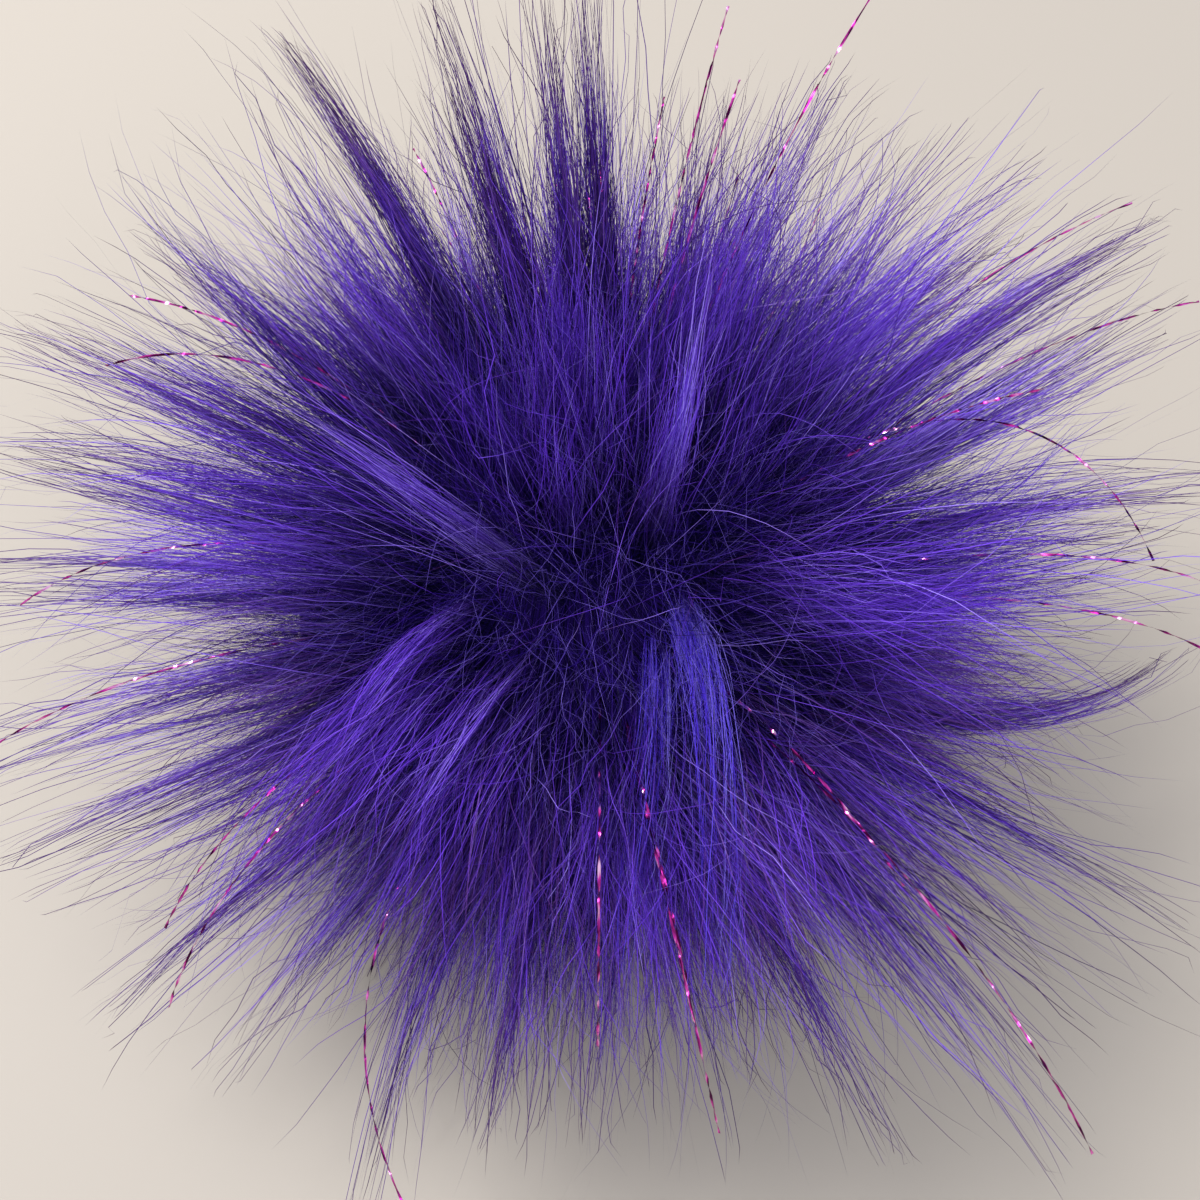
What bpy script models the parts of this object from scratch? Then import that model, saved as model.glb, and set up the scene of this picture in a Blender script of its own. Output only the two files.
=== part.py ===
"""A long-pile fur pom pom, lying on a flat surface.

Metres, +Z up. The origin is the centre of the flat spot that it rests on.
The pom pom is one solid: the dense fur round the gathered ball, which parts on
the crown, and the main locks that the pile has fallen into, each a tapered tuft
along its own path.
"""

import math
from collections import namedtuple

import bmesh
import bpy
from mathutils import Vector

MM = 0.001

# The gathered ball of backing, deep inside the fur, which the locks grow out of.
BALL_RADIUS = 26 * MM
BALL_CENTRE_HEIGHT = 38 * MM

# The dense fur round the ball, which the table flattens underneath.
FUR_RADIUS = 53 * MM
FUR_HALF_HEIGHT = 42 * MM
FUR_SEGMENTS = 40
FUR_RINGS = 20

# The parting on the crown, a dish in the dense fur where the locks fall away to all sides.
PARTING_AZIMUTH = -105
PARTING_RISE = 74
PARTING_RADIUS = 23 * MM
PARTING_DEPTH = 9 * MM
PARTING_SEGMENTS = 24
PARTING_RINGS = 12

# A lock is worked out in short steps, and drawn through every few of them.
LOCK_STEPS = 18
STEPS_PER_RING = 3
TURN_POWER = 1.3  # above 1, so a lock turns mostly in its outer part
ROOT_FULLNESS = 1.35  # radius at the root, deep in the fur, as a share of girth
TAPER_POWER = 0.85
TIP_RADIUS = 0.9 * MM
LEAST_HEIGHT = 0.45  # of a lock's own radius, so that a lock on the table lies flat on it
LOCK_SIDES_LEVEL = 1  # 6 sides round a lock
WELD = 0.01 * MM

# The slab that cuts the underside flat, as the table does.
CUTTER_WIDTH = 300 * MM
CUTTER_DEPTH = 60 * MM

FUR_COLOUR = (0.075, 0.03, 0.36, 1)
FUR_ROUGHNESS = 0.7

# Angles are in degrees. azimuth is the way a lock points as it leaves the ball,
# seen from above, and rise is its slope there. Along its length (mm) it turns
# until it points the way of tip_azimuth and tip_rise. girth (mm) is its radius
# where it leaves the dense fur.
Lock = namedtuple("Lock", "azimuth rise length tip_azimuth tip_rise girth")

RIM_LOCKS = (
    Lock(93, 54, 78, 95, 44, 9.0),
    Lock(76, 50, 60, 76, 34, 11.0),
    Lock(63, 42, 66, 63, 24, 11.0),
    Lock(51, 34, 72, 47, 18, 9.5),
    Lock(40, 27, 74, 34, 9, 10.0),
    Lock(31, 27, 86, 27, 5, 7.5),
    Lock(24, 18, 84, 30, 4, 11.0),
    Lock(13, 16, 80, 1, -6, 8.5),
    Lock(4, 12, 66, 14, -2, 11.0),
    Lock(-8, 0, 52, 0, -10, 12.0),
    Lock(-20, -2, 80, 46, -8, 8.5),
    Lock(-25, -4, 82, -27, -18, 9.5),
    Lock(-40, -2, 76, -40, -18, 9.0),
    Lock(-50, 4, 84, -52, -22, 9.5),
    Lock(-64, 0, 70, -64, -20, 9.0),
    Lock(-76, -6, 60, -76, -22, 9.0),
    Lock(-88, 4, 60, -96, -22, 10.0),
    Lock(-101, 0, 58, -101, -20, 8.5),
    Lock(-115, 4, 76, -99, -24, 9.0),
    Lock(-128, 0, 68, -128, -18, 10.0),
    Lock(-140, 2, 72, -142, -18, 9.5),
    Lock(-153, 2, 74, -157, -12, 9.5),
    Lock(-166, 6, 78, -162, -12, 10.0),
    Lock(180, 14, 76, 184, -6, 11.0),
    Lock(168, 16, 76, 168, 0, 9.0),
    Lock(155, 18, 80, 155, 6, 9.5),
    Lock(143, 25, 72, 147, 9, 9.0),
    Lock(133, 32, 54, 141, 12, 9.0),
    Lock(124, 40, 80, 132, 28, 10.0),
    Lock(107, 50, 74, 119, 38, 9.0),
)
CROWN_LOCKS = (
    Lock(-40, 76, 70, 84, 50, 4.5),
    Lock(-50, 62, 60, -100, -44, 5.0),
    Lock(-66, 60, 54, -112, -44, 4.5),
    Lock(-130, 69, 64, 140, 40, 5.0),
    Lock(-140, 54, 56, -112, -38, 5.5),
    Lock(-134, 40, 70, -112, -12, 9.0),
    Lock(-118, 46, 62, -106, -20, 8.5),
    Lock(-100, 34, 66, -98, -16, 9.0),
    Lock(178, 76, 74, 112, 55, 9.5),
    Lock(90, 82, 70, 92, 56, 9.5),
    Lock(40, 70, 72, 62, 46, 11.0),
    Lock(16, 50, 76, 38, 28, 11.5),
    Lock(-58, 30, 78, -46, -14, 10.0),
    Lock(-78, 28, 64, -78, -16, 9.0),
    Lock(-12, 42, 76, 10, 10, 11.5),
    Lock(-34, 46, 70, -22, 2, 10.5),
    Lock(-166, 44, 78, 178, 4, 10.5),
    Lock(154, 50, 78, 150, 26, 10.5),
)
BACK_LOCKS = (
    Lock(100, 4, 72, 100, -6, 11.0),
    Lock(70, 2, 68, 70, -8, 11.0),
    Lock(122, 2, 70, 128, -8, 11.0),
    Lock(45, -4, 68, 45, -14, 11.0),
    Lock(152, -8, 62, 152, -18, 11.0),
    Lock(12, -10, 56, 12, -20, 11.0),
)

# Rings of locks that fall alike, evenly spread over an arc of azimuths. The
# first, third and so on rise stagger degrees above the ring's own rise. The ones
# between them rise as much below it, and are shorter by LENGTH_STAGGER.
Ring = namedtuple("Ring", "name count first_azimuth last_azimuth rise stagger length tip_rise girth")
LENGTH_STAGGER = 0.12
RINGS = (
    Ring("shoulder", 10, -166, -16, 24, 6, 66, -14, 12.0),
    Ring("nape", 6, 52, 132, 22, 5, 66, 0, 12.0),
    Ring("skirt", 22, -174, 170, -22, 9, 70, -46, 12.5),
)


def heading(azimuth, slope):
    """The unit vector at these two angles, in degrees."""
    around = math.radians(azimuth)
    up = math.radians(slope)
    flat = math.cos(up)
    return Vector((flat * math.cos(around), flat * math.sin(around), math.sin(up)))


def fullness(share):
    """A lock's radius as a share of its girth, from its root in the fur to its point."""
    return ROOT_FULLNESS * (1 - share) ** TAPER_POWER


def ring_locks(ring):
    """The locks of one ring, in order of azimuth."""
    locks = []
    for number in range(ring.count):
        along = number / (ring.count - 1)
        azimuth = ring.first_azimuth + (ring.last_azimuth - ring.first_azimuth) * along
        low = number % 2
        rise = ring.rise + ring.stagger * (1 - 2 * low)
        length = ring.length * (1 - LENGTH_STAGGER * low)
        locks.append(Lock(azimuth, rise, length, azimuth, ring.tip_rise, ring.girth))
    return locks


def lock_rings(lock):
    """(point, radius) pairs along a lock, from inside the fur to its tip."""
    root_way = heading(lock.azimuth, lock.rise)
    tip_way = heading(lock.tip_azimuth, lock.tip_rise)
    step = lock.length * MM / LOCK_STEPS
    point = Vector((0, 0, BALL_CENTRE_HEIGHT)) + root_way * BALL_RADIUS
    rings = []
    for number in range(LOCK_STEPS + 1):
        share = number / LOCK_STEPS
        radius = max(lock.girth * MM * fullness(share), TIP_RADIUS)
        point.z = max(point.z, LEAST_HEIGHT * radius)
        if number % STEPS_PER_RING == 0:
            rings.append((point.copy(), radius))
        point += root_way.lerp(tip_way, share**TURN_POWER).normalized() * step
    return rings


def add_lock(name, lock, collection):
    """One lock as a closed mesh: a curve with a bevel that tapers from ring to ring."""
    rings = lock_rings(lock)
    curve = bpy.data.curves.new(name, "CURVE")
    curve.dimensions = "3D"
    curve.bevel_depth = 1.0
    curve.bevel_resolution = LOCK_SIDES_LEVEL
    curve.use_fill_caps = True
    spline = curve.splines.new("POLY")
    spline.points.add(len(rings) - 1)
    for spot, (point, radius) in zip(spline.points, rings):
        spot.co = (*point, 1)
        spot.radius = radius
    guide = bpy.data.objects.new(name, curve)
    bpy.context.scene.collection.objects.link(guide)
    graph = bpy.context.evaluated_depsgraph_get()
    mesh = bpy.data.meshes.new_from_object(guide.evaluated_get(graph))
    bpy.data.objects.remove(guide)
    weld_caps(mesh)
    solid = bpy.data.objects.new(name, mesh)
    solid.hide_render = True
    solid.display_type = "WIRE"
    collection.objects.link(solid)
    return solid


def weld_caps(mesh):
    """A curve's caps are loose from its sides, so their corners are made one."""
    work = bmesh.new()
    work.from_mesh(mesh)
    bmesh.ops.remove_doubles(work, verts=work.verts, dist=WELD)
    bmesh.ops.recalc_face_normals(work, faces=work.faces)
    work.to_mesh(mesh)
    work.free()


def add_fur_body(collection):
    """The dense fur round the ball, as a flattened sphere that reaches below the table."""
    bpy.ops.mesh.primitive_uv_sphere_add(
        segments=FUR_SEGMENTS, ring_count=FUR_RINGS, radius=1, location=(0, 0, BALL_CENTRE_HEIGHT)
    )
    body = bpy.context.object
    body.name = "fur_ball"
    body.scale = (FUR_RADIUS, FUR_RADIUS, FUR_HALF_HEIGHT)
    bpy.ops.object.transform_apply(location=False, rotation=False, scale=True)
    move_to(body, collection)
    return body


def add_parting_cutter(collection):
    """A flattened sphere, centred on the dense fur's surface, that leaves the parting's dish."""
    way = heading(PARTING_AZIMUTH, PARTING_RISE)
    level = math.hypot(way.x, way.y) / FUR_RADIUS
    upright = way.z / FUR_HALF_HEIGHT
    surface = Vector((0, 0, BALL_CENTRE_HEIGHT)) + way / math.hypot(level, upright)
    bpy.ops.mesh.primitive_uv_sphere_add(
        segments=PARTING_SEGMENTS, ring_count=PARTING_RINGS, radius=1, location=surface
    )
    dish = bpy.context.object
    dish.name = "parting_cutter"
    dish.scale = (PARTING_RADIUS, PARTING_RADIUS, PARTING_DEPTH)
    dish.rotation_euler = way.to_track_quat("Z", "Y").to_euler()
    move_to(dish, collection)
    dish.hide_render = True
    dish.display_type = "WIRE"
    return dish


def add_table_cutter(collection):
    """A slab whose top is the table, which takes off all that would reach below it."""
    bpy.ops.mesh.primitive_cube_add(size=1, location=(0, 0, -CUTTER_DEPTH / 2))
    slab = bpy.context.object
    slab.name = "table_cutter"
    slab.scale = (CUTTER_WIDTH, CUTTER_WIDTH, CUTTER_DEPTH)
    bpy.ops.object.transform_apply(location=False, rotation=False, scale=True)
    move_to(slab, collection)
    slab.hide_render = True
    slab.display_type = "WIRE"
    return slab


def move_to(thing, collection):
    for holder in list(thing.users_collection):
        holder.objects.unlink(thing)
    collection.objects.link(thing)


def fur_material():
    material = bpy.data.materials.new("purple_fur")
    material.use_nodes = True
    shader = material.node_tree.nodes["Principled BSDF"]
    shader.inputs["Base Color"].default_value = FUR_COLOUR
    shader.inputs["Roughness"].default_value = FUR_ROUGHNESS
    shader.inputs["Metallic"].default_value = 0.0
    return material


def new_collection(name):
    collection = bpy.data.collections.new(name)
    bpy.context.scene.collection.children.link(collection)
    return collection


def build():
    for thing in list(bpy.data.objects):
        bpy.data.objects.remove(thing)
    parts = new_collection("pom_pom")
    cutters = new_collection("cutters")
    locks = new_collection("locks")

    body = add_fur_body(parts)
    tiers = {"rim": RIM_LOCKS, "crown": CROWN_LOCKS, "back": BACK_LOCKS}
    tiers.update((ring.name, ring_locks(ring)) for ring in RINGS)
    for tier, rows in tiers.items():
        for number, lock in enumerate(rows, start=1):
            add_lock(f"{tier}_lock_{number}", lock, locks)

    part = body.modifiers.new("part_crown", "BOOLEAN")
    part.operation = "DIFFERENCE"
    part.object = add_parting_cutter(cutters)
    grow = body.modifiers.new("grow_locks", "BOOLEAN")
    grow.operation = "UNION"
    grow.operand_type = "COLLECTION"
    grow.collection = locks
    rest = body.modifiers.new("rest_on_table", "BOOLEAN")
    rest.operation = "DIFFERENCE"
    rest.object = add_table_cutter(cutters)

    body.data.materials.append(fur_material())


build()
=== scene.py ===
"""The looks of a long-pile fur pom pom.

Metres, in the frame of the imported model: +Z up, the viewer on the -Y side. The pile is
made the way the solid is: every strand leaves the gathered ball one way, turns until it
points another way, and is drawn towards the tuft and the lock that it belongs to.
"""

import math
from collections import namedtuple

import bpy
import numpy as np
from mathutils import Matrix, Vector


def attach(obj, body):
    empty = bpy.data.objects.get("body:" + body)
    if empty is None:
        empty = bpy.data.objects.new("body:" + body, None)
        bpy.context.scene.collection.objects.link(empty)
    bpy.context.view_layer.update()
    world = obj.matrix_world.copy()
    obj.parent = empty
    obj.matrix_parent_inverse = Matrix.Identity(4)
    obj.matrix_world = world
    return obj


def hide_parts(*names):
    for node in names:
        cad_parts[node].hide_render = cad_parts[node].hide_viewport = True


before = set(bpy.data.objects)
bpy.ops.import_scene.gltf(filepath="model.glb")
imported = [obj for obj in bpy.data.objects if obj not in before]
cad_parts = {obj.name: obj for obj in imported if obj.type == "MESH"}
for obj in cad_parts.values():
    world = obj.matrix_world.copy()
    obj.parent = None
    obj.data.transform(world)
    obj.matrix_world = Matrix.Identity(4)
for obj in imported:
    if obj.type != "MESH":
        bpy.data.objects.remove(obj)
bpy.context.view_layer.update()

MM = 0.001
FULL_TURN = 2 * math.pi
SEED = 20261

# The gathered ball of fabric that the pile grows from.
BALL_RADIUS = 26 * MM
BALL_CENTRE = np.array((0.0, 0.0, 38 * MM))
TURN_POWER = 1.3
LEAN_POWER = 0.5
LINE_STEPS = 24
FLOOR_CLEARANCE = 0.3 * MM
# A tone is a place across the UV map, and stays inside it.
TONE_LIMITS = (0.02, 0.98)

# Angles are in degrees. azimuth is the way a lock points as it leaves the ball,
# seen from above, and rise is its slope there. Along its length (mm) it turns
# until it points the way of tip_azimuth and tip_rise. tone is how light its strands
# are, and gather how tightly they are drawn together, both from 0 to 1. tone is partly
# painted highlight and shade: lit locks have higher tones and shaded ones lower. fill is its
# share of the strands that a full lock has.
Lock = namedtuple("Lock", "azimuth rise length tip_azimuth tip_rise tone gather fill")

RIM_LOCKS = (
    Lock(93, 54, 78, 95, 44, 0.3, 0.72, 1.6),
    Lock(76, 50, 60, 76, 34, 0.4, 0.55, 1.8),
    Lock(63, 42, 66, 63, 24, 0.6, 0.55, 1.7),
    Lock(51, 34, 72, 47, 18, 0.65, 0.6, 1.5),
    Lock(40, 27, 74, 34, 9, 0.55, 0.68, 1.2),
    Lock(31, 27, 86, 27, 5, 0.5, 0.85, 1.0),
    Lock(24, 18, 84, 30, 4, 0.6, 0.7, 1.0),
    Lock(13, 16, 80, 1, -6, 0.5, 0.8, 0.9),
    Lock(4, 12, 66, 14, -2, 0.5, 0.6, 0.8),
    Lock(-8, 0, 52, 0, -10, 0.5, 0.5, 0.7),
    Lock(-20, -2, 80, 46, -8, 0.5, 0.88, 0.7),
    Lock(-25, -4, 82, -27, -18, 0.45, 0.7, 0.6),
    Lock(-40, -2, 76, -40, -18, 0.4, 0.7, 0.5),
    Lock(-50, 4, 84, -52, -22, 0.4, 0.76, 0.5),
    Lock(-64, 0, 70, -64, -20, 0.35, 0.72, 0.45),
    Lock(-76, -6, 60, -76, -22, 0.35, 0.66, 0.45),
    Lock(-88, 4, 60, -96, -22, 0.4, 0.7, 0.45),
    Lock(-101, 0, 58, -101, -20, 0.35, 0.66, 0.45),
    Lock(-115, 4, 76, -99, -24, 0.35, 0.82, 0.5),
    Lock(-128, 0, 68, -128, -18, 0.45, 0.7, 0.5),
    Lock(-140, 2, 72, -142, -18, 0.5, 0.72, 0.55),
    Lock(-153, 2, 74, -157, -12, 0.55, 0.75, 0.6),
    Lock(-166, 6, 78, -162, -12, 0.65, 0.72, 0.7),
    Lock(180, 14, 76, 184, -6, 0.7, 0.7, 0.8),
    Lock(168, 16, 76, 168, 0, 0.5, 0.72, 1.0),
    Lock(155, 18, 80, 155, 6, 0.4, 0.7, 1.1),
    Lock(143, 25, 72, 147, 9, 0.4, 0.68, 1.3),
    Lock(133, 32, 54, 141, 12, 0.5, 0.62, 1.7),
    Lock(124, 40, 80, 132, 28, 0.3, 0.68, 1.7),
    Lock(107, 50, 74, 119, 38, 0.28, 0.7, 1.8),
)
# The first of these stands up from the middle of the crown.
CROWN_LOCKS = (
    Lock(-58, 73, 72, 83, 48, 0.58, 0.88, 0.36),
    Lock(-140, 54, 56, -112, -38, 0.5, 0.85, 0.3),
    Lock(-134, 40, 70, -112, -12, 0.35, 0.55, 0.8),
    Lock(-118, 46, 62, -106, -20, 0.3, 0.55, 0.8),
    Lock(-100, 34, 66, -98, -16, 0.25, 0.45, 0.8),
    Lock(178, 76, 62, 112, 55, 0.3, 0.4, 1.0),
    Lock(90, 82, 60, 92, 56, 0.25, 0.3, 1.0),
    Lock(40, 70, 66, 62, 46, 0.3, 0.4, 1.0),
    Lock(16, 50, 76, 38, 28, 0.4, 0.4, 1.0),
    Lock(-58, 30, 78, -46, -14, 0.4, 0.45, 1.0),
    Lock(-78, 28, 64, -78, -16, 0.35, 0.45, 1.0),
    Lock(-12, 42, 76, 10, 10, 0.35, 0.35, 1.0),
    Lock(-34, 46, 70, -22, 2, 0.4, 0.35, 1.0),
    Lock(-166, 44, 78, 178, 4, 0.45, 0.45, 1.0),
    Lock(154, 50, 78, 150, 26, 0.35, 0.45, 1.0),
)
# A thin lock that leans back over the crown.
LEANING_LOCKS = (
    Lock(-100, 64, 74, 150, 16, 0.56, 0.93, 0.3),
)
# Thin matted locks that hang over the front of the crown.
HANGING_LOCKS = (
    Lock(-46, 66, 74, -93, -38, 0.62, 0.92, 0.4),
    Lock(-62, 60, 62, -104, -38, 0.54, 0.92, 0.3),
)
BACK_LOCKS = (
    Lock(100, 4, 72, 100, -6, 0.4, 0.45, 1.0),
    Lock(70, 2, 68, 70, -8, 0.4, 0.45, 1.0),
    Lock(122, 2, 70, 128, -8, 0.4, 0.45, 1.0),
    Lock(45, -4, 68, 45, -14, 0.4, 0.45, 1.0),
    Lock(152, -8, 62, 152, -18, 0.4, 0.45, 1.0),
    Lock(12, -10, 56, 12, -20, 0.4, 0.45, 1.0),
)

# Rings of locks that fall alike, evenly spread over an arc of azimuths. The
# first, third and so on rise stagger degrees above the ring's own rise. The ones
# between them rise as much below it, and are shorter by LENGTH_STAGGER.
Ring = namedtuple("Ring", "count first_azimuth last_azimuth rise stagger length tip_rise gather fill")
LENGTH_STAGGER = 0.12
RING_TONE = 0.4


def ring_locks(ring):
    """The locks of one ring, in order of azimuth."""
    locks = []
    for number in range(ring.count):
        along = number / (ring.count - 1)
        azimuth = ring.first_azimuth + (ring.last_azimuth - ring.first_azimuth) * along
        low = number % 2
        rise = ring.rise + ring.stagger * (1 - 2 * low)
        length = ring.length * (1 - LENGTH_STAGGER * low)
        locks.append(
            Lock(azimuth, rise, length, azimuth, ring.tip_rise, RING_TONE, ring.gather, ring.fill)
        )
    return locks


SHOULDER_LOCKS = ring_locks(Ring(10, -166, -16, 24, 6, 60, -14, 0.5, 0.8))
NAPE_LOCKS = ring_locks(Ring(6, 52, 132, 22, 5, 66, 0, 0.4, 1.0))
SKIRT_LOCKS = ring_locks(Ring(22, -174, 170, -22, 9, 56, -46, 0.55, 0.6))


# A fall is a set of strands, tufts or locks: the way each leaves the ball and the way
# its tip points, as unit vectors, its length, and the power by which it turns from the
# one way to the other. One that turns at once, by a power under 1, hangs or leans.
Fall = namedtuple("Fall", "root_way tip_way length turn", defaults=(TURN_POWER,))


def units(vectors):
    return vectors / np.linalg.norm(vectors, axis=-1, keepdims=True)


def headings(azimuth, slope):
    """Unit vectors at these angles, in degrees."""
    around, up = np.radians(azimuth), np.radians(slope)
    return np.stack((np.cos(up) * np.cos(around), np.cos(up) * np.sin(around), np.sin(up)), axis=-1)


def lock_falls(locks, turn):
    azimuth, rise, length, tip_azimuth, tip_rise, *_ = np.array(locks, float).T
    return Fall(headings(azimuth, rise), headings(tip_azimuth, tip_rise), length * MM, turn)


def fall_lines(fall):
    """The line of each member of a fall, as (count, LINE_STEPS + 1, 3) points."""
    turned = (np.arange(LINE_STEPS) / LINE_STEPS)[None, :, None] ** fall.turn
    ways = units(fall.root_way[:, None] * (1 - turned) + fall.tip_way[:, None] * turned)
    steps = ways * (fall.length / LINE_STEPS)[:, None, None]
    start = (BALL_CENTRE + fall.root_way * BALL_RADIUS)[:, None]
    return np.concatenate((start, start + np.cumsum(steps, axis=1)), axis=1)


def points_along(lines, rows, share):
    """Points of lines[rows] at these shares of their length: share is (count, points)."""
    spot = np.clip(share, 0, 1) * LINE_STEPS
    before = np.minimum(spot.astype(int), LINE_STEPS - 1)
    rest = (spot - before)[..., None]
    rows = rows[:, None]
    return lines[rows, before] * (1 - rest) + lines[rows, before + 1] * rest


def strewn(random, ways, spread):
    """The same ways, each turned at random by about spread, in radians."""
    return units(ways + random.normal(0, 1, ways.shape) * np.reshape(spread, (-1, 1)))


# A line is drawn in by its share of the length to this power, less as it gathers more.
DRAWN_POWER = 0.95
DRAWN_POWER_FALL = 0.6


def drawn_in(own, leaders, rows, stretch, hold, gather):
    """Lines drawn towards their leaders' lines, ever more along their length.

    The more they gather, the sooner they are drawn in.
    """
    share = np.linspace(0, 1, LINE_STEPS + 1)[None, :]
    lead = points_along(leaders, rows, share * stretch[:, None])
    pull = (hold[:, None] * share ** (DRAWN_POWER - DRAWN_POWER_FALL * gather[:, None]))[..., None]
    return own * (1 - pull) + lead * pull


def waved(random, lines, height, turns):
    """Lines with a wave in one plane each, which grows along their length."""
    many, steps, _ = lines.shape
    share = np.linspace(0, 1, steps)[None, :]
    side = units(random.normal(0, 1, (many, 1, 3)))
    angle = FULL_TURN * (random.random((many, 1)) + random.uniform(*turns, (many, 1)) * share)
    return lines + side * (np.sin(angle) * share * height[:, None])[..., None]


# The tufts of some locks: their fall and lines, and each one's tone, gather and fill.
Tufts = namedtuple("Tufts", "fall lines tone gather fill")

# How the tufts of a lock differ. Scatters are multiplied by their slack less the lock's
# gather, so the tufts of a lock that gathers are alike. The least stretch grows by its
# gain as the lock gathers, and the roots spread by the loose amount where it doesn't.
# Waves are in mm.
TUFT_LEAST_STRETCH = 0.68
TUFT_LEAST_STRETCH_GAIN = 0.22
TUFT_MOST_STRETCH = 1.15
TUFT_ROOT_SPREAD = 0.02
TUFT_LOOSE_ROOT_SPREAD = 0.2
TUFT_TIP_SPREAD = 0.42
TUFT_TIP_SLACK = 1.15
TUFT_HOLD_SCATTER = 0.3
TUFT_HOLD_LIMITS = (0.05, 0.97)
TUFT_GATHER_SCATTER = 0.28
TUFT_GATHER_LIMITS = (0.1, 0.97)
TUFT_SLACK = 1.05
TUFT_LEAST_WAVE = 0.3
TUFT_WAVE_SCATTER = 2.0
TUFT_WAVE_SLACK = 1.2
TUFT_WAVE_TURNS = (0.4, 1.1)
TUFT_TONE_SCATTER = 0.12
TUFT_LEAST_FILL = 0.3
TUFT_FILL_SCATTER = 0.7


def tufts_of(random, locks, turn, tufts_per_lock, cling):
    """The tufts of some locks, whose own strands gather more than the tufts do, by cling."""
    parents = lock_falls(locks, turn)
    rows = np.repeat(np.arange(len(locks)), tufts_per_lock)
    many = len(rows)
    *_, tone, gather, fill = np.array(locks, float).T[:, rows]
    least_stretch = TUFT_LEAST_STRETCH + TUFT_LEAST_STRETCH_GAIN * gather
    stretch = random.uniform(least_stretch, TUFT_MOST_STRETCH)
    root_spread = TUFT_ROOT_SPREAD + TUFT_LOOSE_ROOT_SPREAD * (1 - gather)
    fall = Fall(
        strewn(random, parents.root_way[rows], root_spread),
        strewn(random, parents.tip_way[rows], TUFT_TIP_SPREAD * (TUFT_TIP_SLACK - gather)),
        parents.length[rows] * stretch,
        turn,
    )
    strayed = random.normal(0, 1, many) * TUFT_HOLD_SCATTER * (TUFT_SLACK - gather)
    hold = np.clip(gather + strayed, *TUFT_HOLD_LIMITS)
    lines = drawn_in(fall_lines(fall), fall_lines(parents), rows, stretch, hold, gather)
    height = TUFT_LEAST_WAVE + TUFT_WAVE_SCATTER * random.random(many)
    lines = waved(random, lines, height * (TUFT_WAVE_SLACK - gather) * MM, TUFT_WAVE_TURNS)
    tone = np.clip(tone + random.normal(0, TUFT_TONE_SCATTER, many), *TONE_LIMITS)
    strayed = random.normal(0, 1, many) * TUFT_GATHER_SCATTER * (TUFT_SLACK - gather)
    gather = np.clip(gather + cling + strayed, *TUFT_GATHER_LIMITS)
    fill = fill * (TUFT_LEAST_FILL + random.exponential(TUFT_FILL_SCATTER, many))
    return Tufts(fall, lines, tone, gather, fill)


# The kinds of strand in a tuft: the dense pile, the short pile that mats the roots of
# the locks that hang, and the guard hairs that reach past both. Stretch is a strand's
# length as a share of its tuft's, spread how far its tip strays, and loose the share
# of strands that hold less to their tuft. Wave, and the frizz that makes it uneven,
# are in mm, and points is how many a strand is drawn through.
Strand = namedtuple("Strand", "least_stretch most_stretch spread loose wave frizz points")
PILE = Strand(0.38, 0.8, 0.3, 0.4, 1.1, 0.28, 8)
MATTED = Strand(0.28, 0.56, 0.6, 0.6, 1.6, 0.4, 8)
GUARD = Strand(0.68, 1.12, 0.6, 0.8, 2.4, 0.18, 12)
STRAND_START = 0.2
STRAND_ROOT_SPREAD = 0.015
STRAND_LOOSE_ROOT_SPREAD = 0.1
STRAND_SLACK = 1.3
STRAND_HOLD = 0.62
STRAND_HOLD_GAIN = 0.33
STRAND_HOLD_SCATTER = 0.06
STRAND_HOLD_LIMITS = (0.05, 0.98)
STRAND_TONE_SCATTER = 0.18
STRAND_WAVE_TURNS = (0.6, 1.8)
WIDTH_SPREAD = (0.7, 1.25)


def strands_of(random, tufts, kind, strands_per_tuft):
    """The strands of one kind in some tufts: (points, tones, stretches)."""
    rows = np.repeat(np.arange(len(tufts.fill)), np.round(tufts.fill * strands_per_tuft).astype(int))
    many = len(rows)
    gather = tufts.gather[rows]
    stretch = random.uniform(kind.least_stretch, kind.most_stretch, many)
    root_spread = STRAND_ROOT_SPREAD + STRAND_LOOSE_ROOT_SPREAD * (1 - gather)
    fall = Fall(
        strewn(random, tufts.fall.root_way[rows], root_spread),
        strewn(random, tufts.fall.tip_way[rows], kind.spread * (STRAND_SLACK - gather)),
        tufts.fall.length[rows] * stretch,
        tufts.fall.turn,
    )
    hold = random.normal(STRAND_HOLD + STRAND_HOLD_GAIN * gather, STRAND_HOLD_SCATTER, many)
    hold = np.clip(hold, *STRAND_HOLD_LIMITS)
    loose = random.random(many) < kind.loose * (STRAND_SLACK - gather)
    hold[loose] *= random.random(loose.sum())
    lines = drawn_in(fall_lines(fall), tufts.lines, rows, stretch, hold, gather)
    tone = tufts.tone[rows] + random.normal(0, STRAND_TONE_SCATTER, many)
    height = kind.wave * MM * random.exponential(1, many) * (STRAND_SLACK - gather)
    lines = waved(random, lines, height, STRAND_WAVE_TURNS)
    points = drawn_points(random, lines, STRAND_START, kind.points, kind.frizz * MM)
    return points, np.clip(tone, *TONE_LIMITS), stretch


def drawn_points(random, lines, start, count, frizz):
    """The points that each strand is drawn through: a little off its line, above the floor.

    start is the share of the line that is left out at its root.
    """
    many = len(lines)
    share = np.repeat(np.linspace(start, 1, count)[None, :], many, axis=0)
    points = points_along(lines, np.arange(many), share)
    points += random.normal(0, 1, points.shape) * frizz * random.exponential(1, (many, 1, 1))
    points[..., 2] = np.maximum(points[..., 2], FLOOR_CLEARANCE)
    return points


def strip_pattern(pairs):
    """The triangles of a strip through this many pairs of corners, two between each."""
    low = 2 * np.arange(pairs - 1)
    first = np.stack((low, low + 1, low + 3), axis=1)
    second = np.stack((low, low + 3, low + 2), axis=1)
    return np.concatenate((first, second))


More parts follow.
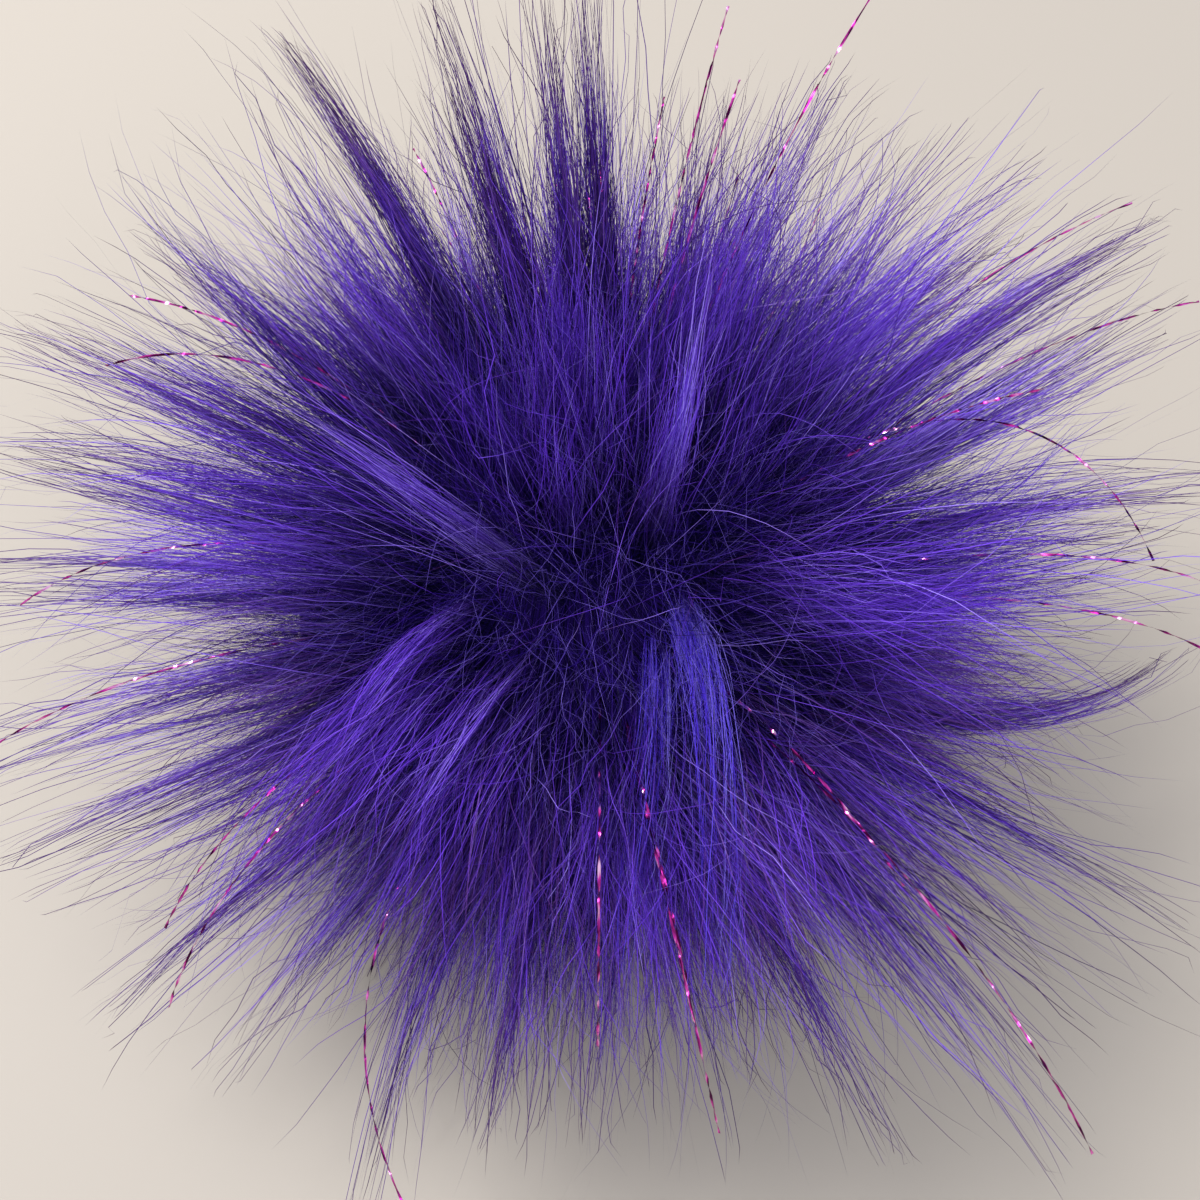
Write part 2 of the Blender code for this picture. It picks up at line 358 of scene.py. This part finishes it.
def repeated(pattern, many, corners):
    """The triangles of many strands, where each has this pattern and so many corners."""
    return (np.arange(many)[:, None, None] * corners + pattern[None]).reshape(-1, 3)


# How much a ribbon narrows towards its tip, and half its width in the UV map.
TAPER = 0.6
TAPER_POWER = 4
CHART_HALF_WIDTH = 0.001
# Keeps a side from having no length at all.
TINY = 1e-12


def ribbon_piece(name, random, points, tone, width, reach=1.0):
    """Strands as ribbons that taper to a point.

    In the UV map, across is tone, and up is how far a strand has come along its lock,
    from its root to its own reach.
    """
    many, count, _ = points.shape
    tangent = np.gradient(points, axis=1)
    side = units(np.cross(tangent, random.normal(0, 1, (many, 1, 3))) + TINY)
    share = np.linspace(0, 1, count)
    half = (width[:, None] * (1 - TAPER * share**TAPER_POWER) / 2)[..., None]
    left = (points - side * half)[:, :-1]
    right = (points + side * half)[:, :-1]
    pairs = np.stack((left, right), axis=2).reshape(many, -1, 3)
    corners = np.concatenate((pairs, points[:, -1:]), axis=1)
    each = corners.shape[1]
    pattern = np.concatenate((strip_pattern(count - 1), [[each - 3, each - 2, each - 1]]))

    across = np.repeat(tone[:, None], each, axis=1)
    across[:, 0:-1:2] -= CHART_HALF_WIDTH
    across[:, 1:-1:2] += CHART_HALF_WIDTH
    up = np.concatenate((np.repeat(share[:-1], 2), [1.0]))
    up = up[None, :] * np.broadcast_to(reach, many)[:, None]
    chart = np.stack((across, up), axis=-1).reshape(-1, 2)
    return mesh_piece(name, corners.reshape(-1, 3), repeated(pattern, many, each), chart)


def mesh_piece(name, corners, faces, chart):
    """An object of these triangles, where chart is the place of each corner in the UV map."""
    mesh = bpy.data.meshes.new(name)
    mesh.vertices.add(len(corners))
    mesh.vertices.foreach_set("co", corners.astype(np.float32).ravel())
    mesh.loops.add(faces.size)
    mesh.loops.foreach_set("vertex_index", faces.astype(np.int32).ravel())
    mesh.polygons.add(len(faces))
    mesh.polygons.foreach_set("loop_start", np.arange(0, faces.size, 3, dtype=np.int32))
    mesh.update(calc_edges=True)
    layer = mesh.uv_layers.new(name="OFBake")
    layer.data.foreach_set("uv", chart[faces.ravel()].astype(np.float32).ravel())
    mesh.shade_smooth()
    thing = bpy.data.objects.new(name, mesh)
    bpy.context.scene.collection.objects.link(thing)
    return thing


# ---- materials

def add_node(tree, kind, **values):
    node = tree.nodes.new(kind)
    for name, value in values.items():
        setattr(node, name, value)
    return node


def add_shades(tree, shades):
    """A colour ramp through these stops, as (position, colour) pairs in order."""
    node = add_node(tree, "ShaderNodeValToRGB")
    stops = node.color_ramp.elements
    for position, _ in shades[1:-1]:
        stops.new(position)
    for stop, (position, colour) in zip(stops, shades):
        stop.position = position
        stop.color = (*colour, 1)
    return node


def fibre_tone_group():
    """Colour of a fibre from the UV map: across is its tone, and up is root to tip.

    The Root colour is painted shade deep in the pile, the colours from Dark to Light are partly
    painted shade and highlight, and the Tip colour is partly painted shade for backlit tips. A light
    strand is in the painted root shade for a shorter part of its root than a dark one, by Root Slack.
    """
    group = bpy.data.node_groups.new("fibre tone", "ShaderNodeTree")
    for name in ("Root", "Dark", "Middle", "Light", "Tip"):
        group.interface.new_socket(name, in_out="INPUT", socket_type="NodeSocketColor")
    for name in ("Root Hold", "Root Reach", "Root Slack", "Tip Reach"):
        group.interface.new_socket(name, in_out="INPUT", socket_type="NodeSocketFloat")
    group.interface.new_socket("Colour", in_out="OUTPUT", socket_type="NodeSocketColor")
    given = add_node(group, "NodeGroupInput")
    put = add_node(group, "NodeGroupOutput")
    chart = add_node(group, "ShaderNodeUVMap", uv_map="OFBake")
    split = add_node(group, "ShaderNodeSeparateXYZ")
    group.links.new(chart.outputs["UV"], split.inputs["Vector"])

    def ramp(value, low, high):
        node = add_node(group, "ShaderNodeMapRange", interpolation_type="SMOOTHSTEP")
        group.links.new(value, node.inputs["Value"])
        for socket, bound in (("From Min", low), ("From Max", high)):
            if isinstance(bound, float):
                node.inputs[socket].default_value = bound
            else:
                group.links.new(bound, node.inputs[socket])
        return node.outputs["Result"]

    def blend(factor, first, second):
        node = add_node(group, "ShaderNodeMix", data_type="RGBA")
        group.links.new(factor, node.inputs["Factor"])
        group.links.new(first, node.inputs["A"])
        group.links.new(second, node.inputs["B"])
        return node.outputs["Result"]

    tone, along = split.outputs["X"], split.outputs["Y"]
    eased = add_node(group, "ShaderNodeMath", operation="MULTIPLY_ADD")
    group.links.new(tone, eased.inputs[0])
    group.links.new(given.outputs["Root Slack"], eased.inputs[1])
    group.links.new(along, eased.inputs[2])
    dark_half = blend(ramp(tone, 0.0, 0.5), given.outputs["Dark"], given.outputs["Middle"])
    body = blend(ramp(tone, 0.5, 1.0), dark_half, given.outputs["Light"])
    out_of_root_shade = ramp(eased.outputs["Value"], given.outputs["Root Hold"], given.outputs["Root Reach"])
    root_shaded = blend(out_of_root_shade, given.outputs["Root"], body)
    tip_shaded = blend(ramp(along, given.outputs["Tip Reach"], 1.0), root_shaded, given.outputs["Tip"])
    group.links.new(tip_shaded, put.inputs["Colour"])
    return group


# Colours are linear. A fibre has its root colour up to root_hold, a near-black that is painted
# shade deep in the pile, and its own, which goes with its tone, by root_reach. Its dark, middle
# and light colours are partly painted shade and highlight along the strands. From tip_reach on
# it turns to its tip colour, which for the pile and guard hairs is a dark plum darkened as
# painted shade for tips seen against the light. All three are shares of the length of its lock.
Fibre = namedtuple(
    "Fibre", "name root dark middle light tip root_hold root_reach root_slack tip_reach roughness"
)
FIBRES = (
    Fibre(
        name="pile_fibre",
        root=(0.0015, 0.0004, 0.026),
        dark=(0.034, 0.007, 0.23),
        middle=(0.14, 0.04, 0.68),
        light=(0.38, 0.26, 1.0),
        tip=(0.06, 0.014, 0.11),
        root_hold=0.22,
        root_reach=0.74,
        root_slack=0.3,
        tip_reach=0.62,
        roughness=0.5,
    ),
    Fibre(
        name="guard_fibre",
        root=(0.0015, 0.0004, 0.024),
        dark=(0.036, 0.008, 0.13),
        middle=(0.13, 0.042, 0.38),
        light=(0.3, 0.19, 0.75),
        tip=(0.04, 0.007, 0.045),
        root_hold=0.2,
        root_reach=0.75,
        root_slack=0.3,
        tip_reach=0.42,
        roughness=0.4,
    ),
    # The under fibre's root, dark and middle colours are painted shade between the roots of the locks.
    Fibre(
        name="under_fibre",
        root=(0.0015, 0.0004, 0.016),
        dark=(0.006, 0.001, 0.055),
        middle=(0.02, 0.0035, 0.19),
        light=(0.17, 0.11, 0.6),
        tip=(0.02, 0.005, 0.12),
        root_hold=0.0,
        root_reach=0.6,
        root_slack=0.2,
        tip_reach=0.9,
        roughness=0.5,
    ),
    Fibre(
        name="blue_fibre",
        root=(0.003, 0.001, 0.04),
        dark=(0.024, 0.007, 0.28),
        middle=(0.078, 0.032, 0.7),
        light=(0.24, 0.19, 0.8),
        tip=(0.1, 0.06, 0.42),
        root_hold=0.0,
        root_reach=0.4,
        root_slack=0.3,
        tip_reach=0.75,
        roughness=0.5,
    ),
)
FIBRE_SPECULAR = 0.15


def fibre_material(group, fibre):
    material = bpy.data.materials.new(fibre.name)
    material.use_nodes = True
    tree = material.node_tree
    shader = tree.nodes["Principled BSDF"]
    tone = add_node(tree, "ShaderNodeGroup", node_tree=group)
    for socket in ("Root", "Dark", "Middle", "Light", "Tip"):
        tone.inputs[socket].default_value = (*getattr(fibre, socket.lower()), 1)
    for socket in ("Root Hold", "Root Reach", "Root Slack", "Tip Reach"):
        tone.inputs[socket].default_value = getattr(fibre, socket.lower().replace(" ", "_"))
    tree.links.new(tone.outputs["Colour"], shader.inputs["Base Color"])
    shader.inputs["Roughness"].default_value = fibre.roughness
    shader.inputs["Specular IOR Level"].default_value = FIBRE_SPECULAR
    return material


# The film's colours, from its dark lengths, which are painted dark reflection, through its own magenta
# to pale pink painted glints.
FILM_COLOURS_AND_GLINTS = (
    (0.42, (0.07, 0.004, 0.055)),
    (0.54, (0.75, 0.05, 0.5)),
    (0.66, (1.0, 0.6, 0.95)),
)
# How many patches of colour the film has across all its strands, and along one.
FILM_PATCHES = (30.0, 14.0, 1.0)
FILM_DETAIL = 3.0
FILM_ROUGHNESS = 0.2


def film_material():
    """Metallic tinsel film: dark plum lengths of painted dark reflection, magenta lengths, and pale
    painted glints.
    """
    material = bpy.data.materials.new("tinsel_film")
    material.use_nodes = True
    tree = material.node_tree
    shader = tree.nodes["Principled BSDF"]
    chart = add_node(tree, "ShaderNodeUVMap", uv_map="OFBake")
    stretch = add_node(tree, "ShaderNodeMapping")
    stretch.inputs["Scale"].default_value = FILM_PATCHES
    patches = add_node(tree, "ShaderNodeTexNoise")
    patches.inputs["Scale"].default_value = 1.0
    patches.inputs["Detail"].default_value = FILM_DETAIL
    shades = add_shades(tree, FILM_COLOURS_AND_GLINTS)
    tree.links.new(chart.outputs["UV"], stretch.inputs["Vector"])
    tree.links.new(stretch.outputs["Vector"], patches.inputs["Vector"])
    tree.links.new(patches.outputs["Fac"], shades.inputs["Fac"])
    tree.links.new(shades.outputs["Color"], shader.inputs["Base Color"])
    shader.inputs["Metallic"].default_value = 1.0
    shader.inputs["Roughness"].default_value = FILM_ROUGHNESS
    return material


# The mass of fur that the strands stand out of, dark as painted shade deep inside the
# pom pom: its sizes, the hollow where the crown parts, and its lumps. The reaches of both
# are on a ball of radius 1.
DENSE_RADIUS = 48 * MM
DENSE_HALF_HEIGHT = 42 * MM
DENSE_FINENESS = 6
PARTING_WAY = headings(-105, 74)
PARTING_DEPTH = 9 * MM
PARTING_REACH = 0.5
LUMP_DEPTH = 2.2 * MM
LUMP_REACH_SQUARED = 0.06
LUMPS = 26


def dense_fur_piece(random):
    """The mass of fur between the roots, dark as painted shade: lumpy, hollow at the parting, and flat
    where it rests.
    """
    bpy.ops.mesh.primitive_ico_sphere_add(subdivisions=DENSE_FINENESS, radius=1)
    piece = bpy.context.object
    piece.name = "dense_fur_shade"
    mesh = piece.data
    ways = np.empty(len(mesh.vertices) * 3, np.float32)
    mesh.vertices.foreach_get("co", ways)
    ways = units(ways.reshape(-1, 3).astype(float))
    sunk = PARTING_DEPTH * np.exp(-((ways - PARTING_WAY) ** 2).sum(axis=1) / PARTING_REACH**2)
    for way, height in zip(units(random.normal(0, 1, (LUMPS, 3))), random.uniform(-1, 1, LUMPS)):
        away = ((ways - way) ** 2).sum(axis=1)
        sunk += height * LUMP_DEPTH * np.exp(-away / LUMP_REACH_SQUARED)
    corners = BALL_CENTRE + ways * ((DENSE_RADIUS, DENSE_RADIUS, DENSE_HALF_HEIGHT) - sunk[:, None])
    corners[:, 2] = np.maximum(corners[:, 2], FLOOR_CLEARANCE)
    mesh.vertices.foreach_set("co", corners.astype(np.float32).ravel())
    mesh.update()
    mesh.shade_smooth()
    mesh.materials.append(dense_fur_material())
    return piece


# The noise of the dense fur: the scale and the reach, in metres, of its fibres' drift,
# and the fibres' own scales, around (on a circle of radius 1) and along (in metres).
# Colours are linear, and near-black as painted shade deep in the fur.
DRIFT_SCALE = 60.0
DRIFT_REACH = (0.012, 0.012, 0.012)
FIBRES_AROUND = (90.0, 90.0, 0.0)
FIBRES_ALONG = (0.0, 0.0, 160.0)
FIBRES_DETAIL = 2.0
DENSE_PAINTED_SHADE = (
    (0.4, (0.0008, 0.0002, 0.007)),
    (0.75, (0.016, 0.004, 0.12)),
)
DENSE_ROUGHNESS = 0.8
DENSE_SPECULAR = 0.03


def dense_fur_material():
    """Fine fibres that run down from the top, from noise drawn out along them, in near-black painted
    shade.
    """
    material = bpy.data.materials.new("dense_fur_shade")
    material.use_nodes = True
    tree = material.node_tree
    shader = tree.nodes["Principled BSDF"]
    place = add_node(tree, "ShaderNodeTexCoord")
    drift = add_node(tree, "ShaderNodeTexNoise")
    drift.inputs["Scale"].default_value = DRIFT_SCALE
    drift.inputs["Detail"].default_value = 0.0
    sway = add_node(tree, "ShaderNodeVectorMath", operation="MULTIPLY_ADD")
    sway.inputs[1].default_value = DRIFT_REACH
    flat = add_node(tree, "ShaderNodeVectorMath", operation="MULTIPLY")
    flat.inputs[1].default_value = (1.0, 1.0, 0.0)
    around = add_node(tree, "ShaderNodeVectorMath", operation="NORMALIZE")
    fine = add_node(tree, "ShaderNodeVectorMath", operation="MULTIPLY")
    fine.inputs[1].default_value = FIBRES_AROUND
    drawn_out = add_node(tree, "ShaderNodeVectorMath", operation="MULTIPLY_ADD")
    drawn_out.inputs[1].default_value = FIBRES_ALONG
    fibres = add_node(tree, "ShaderNodeTexNoise")
    fibres.inputs["Scale"].default_value = 1.0
    fibres.inputs["Detail"].default_value = FIBRES_DETAIL
    shades = add_shades(tree, DENSE_PAINTED_SHADE)
    links = (
        (place, "Object", drift, "Vector"),
        (drift, "Color", sway, 0),
        (place, "Object", sway, 2),
        (sway, "Vector", flat, 0),
        (flat, "Vector", around, 0),
        (around, "Vector", fine, 0),
        (sway, "Vector", drawn_out, 0),
        (fine, "Vector", drawn_out, 2),
        (drawn_out, "Vector", fibres, "Vector"),
        (fibres, "Fac", shades, "Fac"),
        (shades, "Color", shader, "Base Color"),
    )
    for source, output, target, socket in links:
        tree.links.new(source.outputs[output], target.inputs[socket])
    shader.inputs["Roughness"].default_value = DENSE_ROUGHNESS
    shader.inputs["Specular IOR Level"].default_value = DENSE_SPECULAR
    return material


def ways_above(random, count, least_rise):
    """Ways at random, at most count of them, whose rise has a sine over least_rise."""
    ways = units(random.normal(0, 1, (count * 2, 3)))
    return ways[ways[:, 2] > least_rise][:count]


# Short fine fur between the roots of the locks, and the crimped hairs in it. The short fur's
# dark under_fibre colours are painted shade between the roots, and the crimped hairs' high tone
# is partly painted glints. follow is the share of them that fall the way of a lock, and start
# the share of the length that is left out at the root. reach is the length, and wave the height
# of its waves. These, frizz and width are in mm.
Under = namedtuple(
    "Under",
    "name count follow least_reach most_reach start points wave frizz least_turns most_turns width tone",
)
UNDER_FUR = (
    Under("under_fur", 8000, 0.6, 24, 42, 0.5, 5, 0.5, 0.2, 0.4, 1.2, 0.09, 0.4),
    Under("crimped_fur", 11000, 0.85, 26, 52, 0.5, 8, 0.5, 0.35, 1.5, 4.0, 0.036, 0.72),
)
UNDER_LEAST_RISE = -0.35
UNDER_ROOT_SPREAD = 0.35
UNDER_TIP_SPREAD = 0.45
UNDER_TONE_SCATTER = 0.2


def under_fur_piece(random, kind, parents, material):
    ways = ways_above(random, kind.count, UNDER_LEAST_RISE)
    many = len(ways)
    tip_ways = ways.copy()
    rows = random.integers(len(parents.length), size=many)
    follow = random.random(many) < kind.follow
    ways[follow] = strewn(random, parents.root_way[rows[follow]], UNDER_ROOT_SPREAD)
    tip_ways[follow] = parents.tip_way[rows[follow]]
    length = random.uniform(kind.least_reach, kind.most_reach, many) * MM
    fall = Fall(ways, strewn(random, tip_ways, UNDER_TIP_SPREAD), length)
    height = kind.wave * MM * random.exponential(1, many)
    lines = waved(random, fall_lines(fall), height, (kind.least_turns, kind.most_turns))
    points = drawn_points(random, lines, kind.start, kind.points, kind.frizz * MM)
    tone = np.clip(random.normal(kind.tone, UNDER_TONE_SCATTER, many), *TONE_LIMITS)
    piece = ribbon_piece(kind.name, random, points, tone, np.full(many, kind.width * MM))
    piece.data.materials.append(material)
    return piece


# Single hairs that have come away from their locks.
STRAY_HAIRS = 1500
STRAY_LEAST_RISE = -0.5
STRAY_SPREAD = 0.8
STRAY_REACH = (45 * MM, 70 * MM)
STRAY_WAVE = 5 * MM
STRAY_WAVE_TURNS = (0.3, 1.0)
STRAY_START = 0.25
STRAY_POINTS = 13
STRAY_FRIZZ = 0.07 * MM
# Their tones, like the locks', are partly painted highlight and shade.
STRAY_TONE = 0.45
STRAY_TONE_SCATTER = 0.25
STRAY_WIDTH = 0.06 * MM
STRAY_WIDTH_SPREAD = (0.7, 1.3)


def stray_hairs_piece(random, material):
    ways = ways_above(random, STRAY_HAIRS, STRAY_LEAST_RISE)
    many = len(ways)
    fall = Fall(ways, strewn(random, ways, STRAY_SPREAD), random.uniform(*STRAY_REACH, many))
    lines = waved(random, fall_lines(fall), STRAY_WAVE * random.random(many), STRAY_WAVE_TURNS)
    points = drawn_points(random, lines, STRAY_START, STRAY_POINTS, STRAY_FRIZZ)
    tone = np.clip(random.normal(STRAY_TONE, STRAY_TONE_SCATTER, many), *TONE_LIMITS)
    width = STRAY_WIDTH * random.uniform(*STRAY_WIDTH_SPREAD, many)
    piece = ribbon_piece("stray_hairs", random, points, tone, width)
    piece.data.materials.append(material)
    return piece


# The strands of tinsel film, each with its own way out of the fur, as for a Lock.
Tinsel = namedtuple("Tinsel", "azimuth rise length tip_azimuth tip_rise")
TINSEL = (
    Tinsel(72, 66, 76, 66, 48),
    Tinsel(62, 52, 84, 50, 30),
    Tinsel(68, 64, 66, 62, 46),
    Tinsel(82, 60, 60, 74, 42),
    Tinsel(150, 42, 70, 160, -14),
    Tinsel(158, 52, 74, 172, -34),
    Tinsel(-164, 22, 92, -157, -42),
    Tinsel(-176, 36, 76, -172, -44),
    Tinsel(-134, 30, 80, -130, -62),
    Tinsel(-140, 28, 70, -138, -58),
    Tinsel(-90, 46, 82, -93, -84),
    Tinsel(-84, 44, 62, -68, -60),
    Tinsel(-84, 42, 88, -62, -70),
    Tinsel(-60, 46, 62, -38, -50),
    Tinsel(-58, 38, 106, -44, -56),
    Tinsel(-6, 32, 94, 8, -54),
    Tinsel(-12, 30, 88, 4, -52),
    Tinsel(26, 32, 82, -60, -36),
    Tinsel(32, 14, 102, 27, -22),
    Tinsel(40, 22, 96, 33, -14),
    Tinsel(4, 54, 62, 22, -16),
    Tinsel(-126, 4, 82, -56, -24),
)
# The strands of film at the back, strewn over these azimuths, rises and lengths. Each
# one's tip strays from the way of its root by about LOOSE_BEND, and points lower.
LOOSE_TINSEL = 12
LOOSE_AZIMUTH = (35, 145)
LOOSE_RISE = (-15, 30)
LOOSE_LENGTH = (45, 78)
LOOSE_BEND = 8
LOOSE_DROOP = 12
TINSEL_START = 0.15
TINSEL_POINTS = 48
TINSEL_WIDTH = 0.42 * MM
# Half the width of a strand in the UV map.
TINSEL_ROOM = 0.008
# The way that a strip's first side is square to. Each turns so many times about its own
# line, and swings so many times to and fro as it does, by this share of a turn.
TINSEL_FACING = (0.3, 0.2, 0.93)
TINSEL_TURNS = (1, 4)
TINSEL_SWINGS = (4, 9)
TINSEL_SWING = 0.25


def tinsel_piece(random, material):
    """Flat strips of film that turn about themselves along their length."""
    placed = np.array(TINSEL, float)
    azimuth = random.uniform(*LOOSE_AZIMUTH, LOOSE_TINSEL)
    rise = random.uniform(*LOOSE_RISE, LOOSE_TINSEL)
    bend = random.normal(0, LOOSE_BEND, (2, LOOSE_TINSEL))
    length = random.uniform(*LOOSE_LENGTH, LOOSE_TINSEL)
    tip_rise = rise - LOOSE_DROOP + bend[1]
    loose = np.stack((azimuth, rise, length, azimuth + bend[0], tip_rise), axis=1)
    azimuth, rise, length, tip_azimuth, tip_rise = np.concatenate((placed, loose)).T
    many = len(azimuth)
    fall = Fall(headings(azimuth, rise), headings(tip_azimuth, tip_rise), length * MM)
    points = drawn_points(random, fall_lines(fall), TINSEL_START, TINSEL_POINTS, 0)
    points[..., 2] += TINSEL_WIDTH / 2
    tangent = units(np.gradient(points, axis=1))
    flat = units(np.cross(tangent, TINSEL_FACING))
    edge = np.cross(tangent, flat)
    share = np.linspace(0, 1, TINSEL_POINTS)
    turns = random.uniform(*TINSEL_TURNS, (many, 1)) * share
    swings = random.random((many, 1)) + random.uniform(*TINSEL_SWINGS, (many, 1)) * share
    swing = TINSEL_SWING * np.sin(FULL_TURN * swings)
    angle = FULL_TURN * (random.random((many, 1)) + turns + swing)[..., None]
    across = (flat * np.cos(angle) + edge * np.sin(angle)) * TINSEL_WIDTH / 2
    corners = np.stack((points - across, points + across), axis=2).reshape(-1, 3)
    faces = repeated(strip_pattern(TINSEL_POINTS), many, 2 * TINSEL_POINTS)

    column = (np.arange(many) + 0.5) / many
    chart = np.empty((many, TINSEL_POINTS, 2, 2))
    chart[:, :, 0, 0] = (column - TINSEL_ROOM)[:, None]
    chart[:, :, 1, 0] = (column + TINSEL_ROOM)[:, None]
    chart[..., 1] = share[None, :, None]
    piece = mesh_piece("tinsel", corners, faces, chart.reshape(-1, 2))
    piece.data.materials.append(material)
    return piece


# ---- surroundings

FLOOR_SIZE = 12
FLOOR_COLOUR = (0.44, 0.40, 0.355, 1)
FLOOR_ROUGHNESS = 0.6

Lamp = namedtuple("Lamp", "name place size power colour")
LAMPS = (
    Lamp("key", (-0.45, 0.35, 0.85), 0.5, 10, (1.0, 0.98, 0.95)),
    Lamp("fill", (0.6, -0.5, 0.6), 0.7, 3.5, (0.95, 0.97, 1.0)),
)
WORLD_COLOUR = (0.95, 0.96, 1.0, 1)
WORLD_STRENGTH = 0.74

CAMERA_RISE = math.radians(60)
CAMERA_DISTANCE = 0.30
CAMERA_TARGET = Vector((0, 0, 45 * MM))
CAMERA_VIEW = math.radians(36)


def add_floor():
    bpy.ops.mesh.primitive_plane_add(size=FLOOR_SIZE)
    floor = bpy.context.object
    floor.name = "floor"
    material = bpy.data.materials.new("pale_floor")
    material.use_nodes = True
    shader = material.node_tree.nodes["Principled BSDF"]
    shader.inputs["Base Color"].default_value = FLOOR_COLOUR
    shader.inputs["Roughness"].default_value = FLOOR_ROUGHNESS
    floor.data.materials.append(material)


def add_lamp(lamp):
    """A round lamp that faces the middle of the part."""
    light = bpy.data.lights.new(lamp.name, "AREA")
    light.shape = "DISK"
    light.size = lamp.size
    light.energy = lamp.power
    light.color = lamp.colour
    thing = bpy.data.objects.new(lamp.name, light)
    thing.location = lamp.place
    thing.rotation_euler = (CAMERA_TARGET - thing.location).to_track_quat("-Z", "Y").to_euler()
    bpy.context.scene.collection.objects.link(thing)


def add_world():
    world = bpy.data.worlds.new("studio")
    bpy.context.scene.world = world
    world.use_nodes = True
    background = world.node_tree.nodes["Background"]
    background.inputs["Color"].default_value = WORLD_COLOUR
    background.inputs["Strength"].default_value = WORLD_STRENGTH


def set_view():
    bpy.context.scene.view_settings.view_transform = "Standard"


def add_camera():
    lens = bpy.data.cameras.new("camera")
    lens.angle = CAMERA_VIEW
    camera = bpy.data.objects.new("camera", lens)
    away = Vector((0, -math.cos(CAMERA_RISE), math.sin(CAMERA_RISE)))
    camera.location = CAMERA_TARGET + away * CAMERA_DISTANCE
    camera.rotation_euler = (-away).to_track_quat("-Z", "Y").to_euler()
    bpy.context.scene.collection.objects.link(camera)
    bpy.context.scene.camera = camera


def dress(piece):
    """Every piece rides on the one body, and stands for the one solid."""
    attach(piece, "root")
    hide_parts("fur_ball")


# ---- the scene

set_view()
add_camera()
add_floor()
for lamp in LAMPS:
    add_lamp(lamp)
add_world()

tone_group = fibre_tone_group()
pile, guard, under, blue = (fibre_material(tone_group, fibre) for fibre in FIBRES)

# A coat is the fur of some locks. turn is the power by which they turn, tufts how many
# each has, and cling how much more their strands gather. kind is the kind of its pile.
# piles and guards are how many strands a tuft has, their widths are in mm, and the two
# finishes are their materials.
Coat = namedtuple(
    "Coat",
    "name locks turn tufts cling kind piles pile_width guards guard_width pile_finish guard_finish",
)
COATS = (
    Coat("rim", RIM_LOCKS, TURN_POWER, 15, 0.1, PILE, 27, 0.095, 8, 0.14, pile, guard),
    Coat("crown", CROWN_LOCKS, TURN_POWER, 16, 0.0, PILE, 38, 0.09, 6, 0.1, pile, pile),
    Coat("leaning", LEANING_LOCKS, LEAN_POWER, 10, 0.0, PILE, 60, 0.07, 8, 0.09, pile, pile),
    Coat("hanging", HANGING_LOCKS, LEAN_POWER, 8, 0.1, MATTED, 100, 0.055, 16, 0.1, blue, blue),
    Coat("back", BACK_LOCKS, TURN_POWER, 14, 0.0, PILE, 34, 0.095, 7, 0.14, pile, guard),
    Coat("shoulder", SHOULDER_LOCKS, TURN_POWER, 14, 0.0, PILE, 36, 0.095, 10, 0.12, guard, guard),
    Coat("nape", NAPE_LOCKS, TURN_POWER, 14, 0.0, PILE, 32, 0.095, 6, 0.14, pile, guard),
    Coat("skirt", SKIRT_LOCKS, TURN_POWER, 12, 0.0, PILE, 26, 0.095, 8, 0.15, guard, guard),
)

random = np.random.default_rng(SEED)
for coat in COATS:
    tufts = tufts_of(random, coat.locks, coat.turn, coat.tufts, coat.cling)
    kinds = (
        ("pile", coat.kind, coat.piles, coat.pile_width, coat.pile_finish),
        ("guard", GUARD, coat.guards, coat.guard_width, coat.guard_finish),
    )
    for ending, kind, strands, width, finish in kinds:
        points, tone, stretch = strands_of(random, tufts, kind, strands)
        widths = width * MM * random.uniform(*WIDTH_SPREAD, len(tone))
        reach = stretch / GUARD.most_stretch
        piece = ribbon_piece(f"{coat.name}_{ending}", random, points, tone, widths, reach)
        piece.data.materials.append(finish)
        dress(piece)

every_lock = lock_falls([lock for coat in COATS for lock in coat.locks], TURN_POWER)
for kind in UNDER_FUR:
    dress(under_fur_piece(random, kind, every_lock, under))
dress(dense_fur_piece(random))
dress(stray_hairs_piece(random, pile))
dress(tinsel_piece(random, film_material()))
